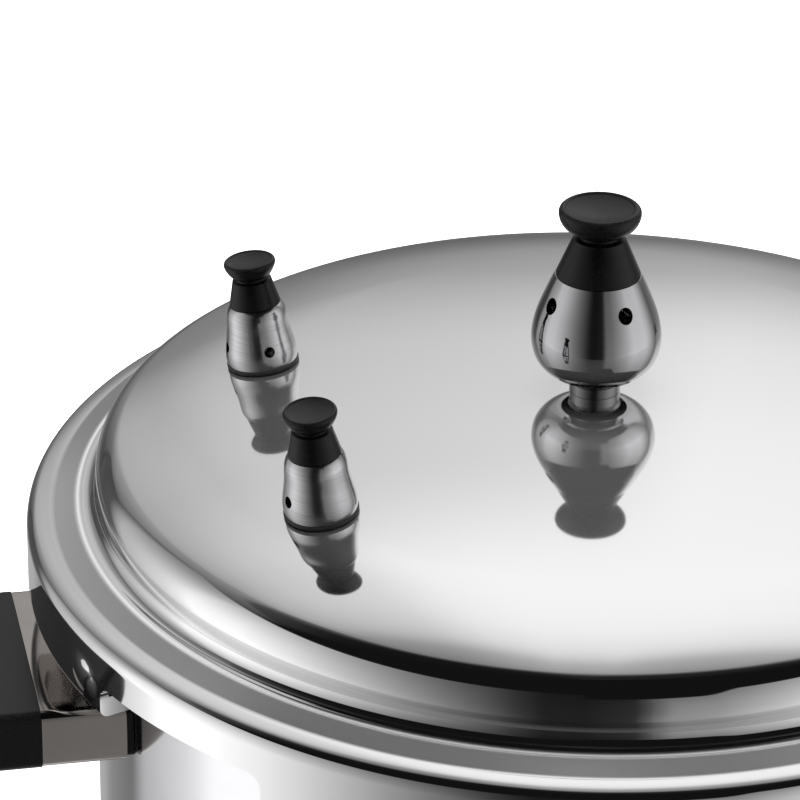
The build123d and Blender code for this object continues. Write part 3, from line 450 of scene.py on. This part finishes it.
def polished(name):
    """Mirror polish by distance from the axis: hazy crown, foot line with a painted highlight (less metallic, so the
    overhead lamp lights it), channel with painted shade (darker base colour dims its reflection), bright rim.
    """
    m, nt, bsdf = new_material(name)
    nz = noise(nt, 9.0, 4.0)
    tc_ = nt.nodes.new("ShaderNodeTexCoord")
    flat = nt.nodes.new("ShaderNodeVectorMath")
    flat.operation = "MULTIPLY"
    flat.inputs[1].default_value = (1.0, 1.0, 0.0)
    nt.links.new(tc_.outputs["Object"], flat.inputs[0])
    ln = nt.nodes.new("ShaderNodeVectorMath")
    ln.operation = "LENGTH"
    nt.links.new(flat.outputs["Vector"], ln.inputs[0])

    def by_radius(pts):
        """Value by radius in millimetres, linear between the points."""
        mr = nt.nodes.new("ShaderNodeMapRange")
        mr.inputs["From Max"].default_value = 0.2
        nt.links.new(ln.outputs["Value"], mr.inputs["Value"])
        cr = nt.nodes.new("ShaderNodeValToRGB")
        el_ = cr.color_ramp.elements
        for k_, (r, v) in enumerate(pts):
            e = el_[k_] if k_ < 2 else el_.new(r / 200.0)
            e.position = r / 200.0
            e.color = (v, v, v, 1)
        nt.links.new(mr.outputs["Result"], cr.inputs["Fac"])
        return cr.outputs["Color"]

    # foot line 160.6-161.4 mm is less metallic, so the overhead lamp lights it as a painted highlight
    metallic_with_painted_highlight = by_radius([(0, 0.955), (118, 0.965), (136, 1.0), (160.1, 1.0), (160.6, 0.70), (161.4, 0.70), (161.9, 0.93), (168.2, 0.93), (168.9, 1.0), (200, 1.0)])
    # channel 161.9-168.2 mm gets a darker base colour: painted shade that dims its mirror reflection
    base_tone_with_painted_shade = by_radius([(0, 0.89), (160.1, 0.89), (160.6, 0.80), (161.4, 0.80), (161.9, 0.55), (168.2, 0.60), (168.9, 0.89), (200, 0.89)])
    ro = by_radius([(0, 0.0), (160.1, 0.0), (160.6, 0.22), (161.9, 0.12), (168.2, 0.06), (168.9, 0.0), (200, 0.0)])
    nt.links.new(metallic_with_painted_highlight, bsdf.inputs["Metallic"])
    nt.links.new(base_tone_with_painted_shade, bsdf.inputs["Base Color"])
    add = nt.nodes.new("ShaderNodeMath")
    add.operation = "ADD"
    nt.links.new(remap(nt, nz.outputs["Fac"], 0.04, 0.06), add.inputs[0])
    nt.links.new(ro, add.inputs[1])
    nt.links.new(add.outputs[0], bsdf.inputs["Roughness"])
    return m


mat = {
    "lid_polished": polished("lid_polished"),
    "pot_aluminium": metal("pot_aluminium", (0.84, 0.84, 0.86), (0.88, 0.88, 0.90), 0.10, 0.14, 22.0, (1, 1, 4)),
    "ferrule_steel": metal("ferrule_steel", (0.42, 0.39, 0.37), (0.48, 0.45, 0.43), 0.05, 0.08, 40.0),
    "weight_chrome": metal("weight_chrome", (0.44, 0.44, 0.45), (0.50, 0.50, 0.51), 0.035, 0.055, 30.0),
    "valve_steel": metal("valve_steel", (0.50, 0.50, 0.51), (0.60, 0.60, 0.61), 0.17, 0.21, 700.0, (0.05, 0.05, 4)),
    "steel": metal("steel", (0.24, 0.24, 0.245), (0.32, 0.32, 0.325), 0.16, 0.24, 90.0),
    "rubber": plastic("rubber", (0.020, 0.020, 0.022), (0.030, 0.030, 0.032), 0.45, 0.6, 300.0, 0.15),
    "black_plastic": plastic("black_plastic", (0.004, 0.004, 0.0045), (0.006, 0.006, 0.0065), 0.26, 0.33, 900.0, 0.10),
}
mat["black_plastic"].node_tree.nodes["Principled BSDF"].inputs["Specular IOR Level"].default_value = 0.22


def paint(ob, slot):
    ob.data.materials.clear()
    ob.data.materials.append(mat[slot])


slot_of = {s["node"]: s["material_slot"] for s in frame["record"]["subparts"] if s.get("material_slot")}
for name, ob in nodes.items():
    for s in ob.material_slots:
        s.material = mat[slot_of[name]]
paint(lid_shell, "lid_polished")
paint(pot_shell, "pot_aluminium")
paint(helper_sleeve, "ferrule_steel")

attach(lid_shell, "lid")
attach(pot_shell, "pot")
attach(helper_sleeve, "pot")

# ---------------------------------------------------------------------------
# floor, light and camera
# ---------------------------------------------------------------------------
fme = bpy.data.meshes.new("floor")
bm = bmesh.new()
bmesh.ops.create_grid(bm, x_segments=2, y_segments=2, size=9.0)
bm.to_mesh(fme)
bm.free()
floor = bpy.data.objects.new("floor", fme)
scene.collection.objects.link(floor)
fm, fnt, fb = new_material("floor_paper")
fnz = noise(fnt, 30.0, 2.0)
fnt.links.new(tint(fnt, fnz.outputs["Fac"], (0.90, 0.90, 0.90), (0.92, 0.92, 0.92)), fb.inputs["Base Color"])
fb.inputs["Roughness"].default_value = 0.9
fb.inputs["Specular IOR Level"].default_value = 0.1
fme.materials.append(fm)
floor.visible_glossy = False      # the metal mirrors the studio only

YAW, PITCH, ROLL = rad(-2.67), rad(27.185), rad(0.635)
SWING = rad(-14.0)
fwd = Vector((sin(YAW) * cos(PITCH), cos(YAW) * cos(PITCH), -sin(PITCH)))
rgt = Vector((cos(YAW), -sin(YAW), 0.0))
up = rgt.cross(fwd)
r2 = rgt * cos(ROLL) + up * sin(ROLL)
u2 = up * cos(ROLL) - rgt * sin(ROLL)
rot = Matrix(((r2.x, u2.x, -fwd.x), (r2.y, u2.y, -fwd.y), (r2.z, u2.z, -fwd.z)))
turn = Matrix.Rotation(SWING, 3, "Z")
loc = turn @ Vector((0.0, -1.296, 0.6946)) + Vector((0, 0, 0.240))
cam_data = bpy.data.cameras.new("camera")
cam_data.sensor_width = 36.0
cam_data.lens = 4680.0 / 800.0 * 36.0
cam_data.clip_start, cam_data.clip_end = 0.05, 60.0
camera = bpy.data.objects.new("camera", cam_data)
camera.matrix_world = Matrix.Translation(loc) @ (turn @ rot).to_4x4()
scene.collection.objects.link(camera)
scene.camera = camera
scene.view_settings.view_transform = "Standard"

# studio: brightness by direction; azimuth 0 is behind the object, seen from the camera
world = bpy.data.worlds.new("studio")
scene.world = world
world.use_nodes = True
wt = world.node_tree
wt.nodes.clear()


def wn(kind, **kw):
    n = wt.nodes.new(kind)
    for k, v in kw.items():
        setattr(n, k, v)
    return n


def wmath(op, a, b=None, c=None, clamp=False):
    n = wn("ShaderNodeMath", operation=op, use_clamp=clamp)
    for i, x in enumerate((a, b, c)):
        if x is None:
            continue
        if isinstance(x, (int, float)):
            n.inputs[i].default_value = x
        else:
            wt.links.new(x, n.inputs[i])
    return n.outputs[0]


def smooth(x, a, b):
    """0 below a, 1 above b, smooth between."""
    n = wn("ShaderNodeMapRange", interpolation_type="SMOOTHSTEP")
    n.inputs["From Min"].default_value = a
    n.inputs["From Max"].default_value = b
    wt.links.new(x, n.inputs["Value"])
    return n.outputs["Result"]


def curve(x, pts):
    """Piecewise linear function of x through (x, y) points."""
    n = wn("ShaderNodeFloatCurve")
    lo, hi = pts[0][0], pts[-1][0]
    mr = wn("ShaderNodeMapRange")
    mr.inputs["From Min"].default_value = lo
    mr.inputs["From Max"].default_value = hi
    wt.links.new(x, mr.inputs["Value"])
    top = max(1e-6, max(p[1] for p in pts))
    c = n.mapping.curves[0]
    q = [((p[0] - lo) / (hi - lo), p[1] / top) for p in pts]
    c.points[0].location = q[0]
    c.points[1].location = q[-1]
    for p in q[1:-1]:
        c.points.new(*p)
    for p in c.points:
        p.handle_type = "VECTOR"
    n.mapping.update()
    wt.links.new(mr.outputs["Result"], n.inputs["Value"])
    return wmath("MULTIPLY", n.outputs[0], top)


tc = wn("ShaderNodeTexCoord")
vr = wn("ShaderNodeVectorRotate", rotation_type="Z_AXIS")
vr.inputs["Angle"].default_value = -SWING
wt.links.new(tc.outputs["Generated"], vr.inputs["Vector"])
sx = wn("ShaderNodeSeparateXYZ")
wt.links.new(vr.outputs["Vector"], sx.inputs[0])
X, Y, Z = sx.outputs
el = wmath("MULTIPLY", wmath("ARCSINE", Z), 180 / math.pi)
az = wmath("MULTIPLY", wmath("ARCTAN2", X, Y), 180 / math.pi)

aaz = wmath("ABSOLUTE", az)
one_minus = lambda x: wmath("SUBTRACT", 1.0, x)
mul = lambda p, q: wmath("MULTIPLY", p, q)

# side and front belt, by azimuth, fading with height up to its top edge
belt = curve(az, [(-180, 0.010), (-171, 0.012), (-165, 0.045), (-158, 0.125), (-150, 0.23), (-141, 0.38), (-130, 0.62), (-122, 0.82),
                  (-113, 1.05), (-100, 1.3), (-85, 1.3), (-80, 1.05), (-74, 0.86), (-69, 0.77), (-65, 0.70), (-60, 0.62), (-56, 0.58),
                  (-52, 0.35), (-48, 0.10), (-40, 0.08), (-36, 0.10), (-33, 0.0), (45, 0.0), (60, 0.4), (75, 1.0), (85, 1.3),
                  (112, 1.3), (125, 0.9), (137, 0.62), (145, 0.47), (151, 0.36), (161, 0.30), (166, 0.10), (169, 0.025), (180, 0.010)])
fade = curve(el, [(-90, 1.1), (-20, 1.1), (0, 1.0), (10, 0.92), (18, 0.82), (26, 0.72), (33, 0.62), (40, 0.52), (90, 0.5)])
lift = mul(smooth(az, 140, 153), 12.0)
edge = one_minus(smooth(wmath("ADD", el, lift), 42.0, 44.5))
belt = mul(mul(belt, fade), edge)

# back panel, brighter with height and to the right
top_lean = mul(wmath("MULTIPLY", wmath("MAXIMUM", wmath("SUBTRACT", aaz, 4.0), 0.0), 0.3), smooth(el, 44, 54))
lean = wmath("ADD", el, wmath("MINIMUM", top_lean, 14.0))
back = curve(lean, [(-90, 0.9), (-28, 0.9), (-14, 0.3), (-6, 0.23), (4, 0.42), (9, 0.47), (12, 0.52), (15, 0.70), (18, 0.86), (21, 0.97), (25, 1.03),
                    (30, 1.10), (35, 1.14), (44, 1.2), (54, 1.2), (57, 1.17), (58.5, 1.12), (60, 1.07), (61, 1.0), (62, 0.90), (63, 0.74), (64, 0.56),
                    (66, 0.42), (70, 0.25), (74, 0.09), (78, 0.025), (82, 0.012), (90, 0.01)])
side_low = curve(az, [(-180, 0.0), (-53, 0.0), (-47, 0.25), (-43, 0.27), (-37, 0.33), (-32, 0.36), (-28, 0.46), (-25, 0.54), (-22, 0.58), (-18, 0.56), (-14, 0.62), (-8, 0.69), (-3, 0.74), (0, 0.82), (2, 0.92), (4, 1.0), (48, 1.0), (62, 0.0), (180, 0.0)])
side_high = curve(az, [(-180, 0.0), (-90, 0.0), (-76, 0.08), (-55, 0.17), (-40, 0.24), (-33, 0.28), (-30, 0.40), (-28, 0.53), (-25, 0.64), (-22, 0.69), (-16, 0.76), (-13, 0.86), (-10, 0.95), (-5, 1.0), (48, 1.0), (65, 0.35), (80, 0.0), (180, 0.0)])
k = smooth(el, 33, 45)
side = wmath("ADD", mul(side_low, one_minus(k)), mul(side_high, k))
flag = mul(mul(smooth(az, -56, -49), one_minus(smooth(az, -37, -33))), mul(smooth(el, -16, -3), one_minus(smooth(el, 10, 14))))
back = mul(mul(back, side), one_minus(mul(flag, 0.85)))
val = wmath("ADD", wmath("MAXIMUM", belt, back), 0.008)
bg = wn("ShaderNodeBackground")
wt.links.new(val, bg.inputs["Strength"])
out = wn("ShaderNodeOutputWorld")
wt.links.new(bg.outputs[0], out.inputs[0])

# overhead fill for the floor and the black parts, not mirrored in the metal
la = bpy.data.lights.new("overhead", "AREA")
la.shape = "DISK"
la.size = 3.0
la.energy = 260.0
lo_ = bpy.data.objects.new("overhead", la)
lo_.location = (0.0, 0.6, 3.2)
lo_.visible_glossy = False
scene.collection.objects.link(lo_)
